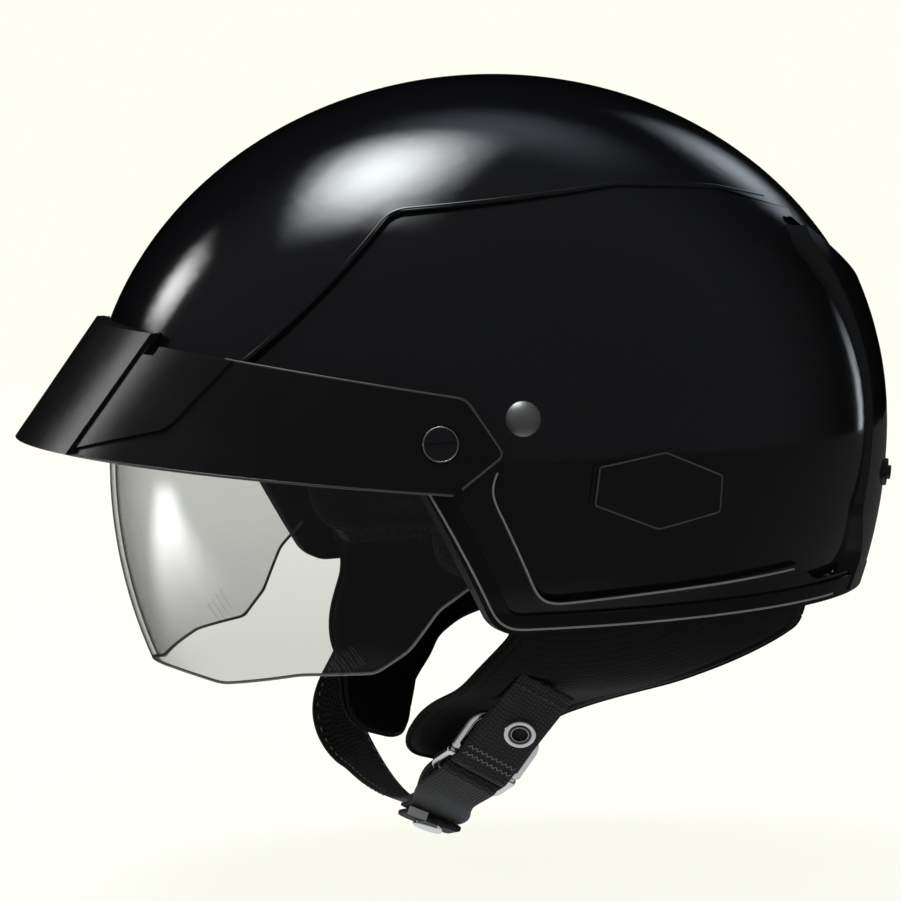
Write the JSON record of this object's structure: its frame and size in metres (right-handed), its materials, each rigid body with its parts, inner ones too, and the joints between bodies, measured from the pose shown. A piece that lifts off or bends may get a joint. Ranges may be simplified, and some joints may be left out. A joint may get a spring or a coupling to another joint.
{
  "type": "half shell motorcycle helmet",
  "caption": "Half shell motorcycle helmet with a screwed-on peak, a drop-down sun shield that slides up inside the shell, soft ear flaps and a double ring chin strap",
  "frame": {"origin": "centre of the dome's ellipsoid on the helmet's middle plane, inside the hollow for the head", "axes": "the face looks along -Y, the wearer's left is +X and the crown is +Z"},
  "size_m": [0.2392, 0.3255, 0.2798],
  "materials": {
    "bright_steel": "polished nickel plate",
    "clip_steel": "spring steel",
    "flap_cloth": "charcoal fleece-backed cloth with a piped edge",
    "foam": "black expanded polystyrene",
    "hardware_black": "black acetal",
    "lining": "black brushed mesh over foam",
    "peak_satin": "satin black moulded plastic",
    "rivet_grey": "satin grey enamelled steel",
    "screw_black": "black oxide steel",
    "shell_gloss": "high gloss black clear-coated shell",
    "shield_clear": "clear polycarbonate with a faint smoke tint",
    "tab_grey": "pale grey moulded tab",
    "trim_rubber": "semi-gloss black edge rubber",
    "webbing": "black woven nylon webbing"
  },
  "bodies": {
    "helmet": {"badge_left": "shell_gloss", "badge_right": "shell_gloss", "brow_pad": "lining", "chin_strap_left": "webbing", "chin_strap_right": "webbing", "crown_pad": "lining", "ear_flap_left": "flap_cloth", "ear_flap_right": "flap_cloth", "edge_trim": "trim_rubber", "eps_liner": "foam", "hanger_strap_left": "webbing", "hanger_strap_right": "webbing", "nape_pad": "lining", "outer_shell": "shell_gloss", "peak": "peak_satin", "peak_clip": "clip_steel", "peak_nut_left": "hardware_black", "peak_nut_right": "hardware_black", "peak_screw_left": "screw_black", "peak_screw_right": "screw_black", "pivot_boss_left": "hardware_black", "pivot_boss_right": "hardware_black", "pivot_screw_left": "screw_black", "pivot_screw_right": "screw_black", "pivot_washer_left": "clip_steel", "pivot_washer_right": "clip_steel", "rear_snap_left": "screw_black", "rear_snap_right": "screw_black", "rear_vent_left": "peak_satin", "rear_vent_right": "peak_satin", "rivet_washer_left": "clip_steel", "rivet_washer_right": "clip_steel", "side_pad_left": "lining", "side_pad_right": "lining", "strap_hem": "webbing", "strap_rivet_left": "rivet_grey", "strap_rivet_right": "rivet_grey", "strap_snap_socket": "bright_steel", "strap_snap_stud": "bright_steel", "strap_tab": "tab_grey"},
    "shield": {"sun_shield": "shield_clear"},
    "lower_ring": {"ring_lower": "bright_steel"},
    "upper_ring": {"ring_upper": "bright_steel"}
  },
  "joints": [
    {"name": "shield_hinge", "type": "hinge", "parent": "helmet", "child": "shield", "pos_m": [0, 0.024, -0.025], "axis": [-1, 0, 0], "range_deg": [0, 26]},
    {"name": "lower_ring_swivel", "type": "hinge", "parent": "helmet", "child": "lower_ring", "pos_m": [0.05416, -0.02283, -0.11654], "axis": [0.094, 0.8656, -0.4918], "range_deg": [-3, 3]},
    {"name": "upper_ring_swivel", "type": "hinge", "parent": "helmet", "child": "upper_ring", "pos_m": [0.05601, -0.02157, -0.11397], "axis": [0.094, 0.8656, -0.4918], "range_deg": [-6, 0]}
  ]
}
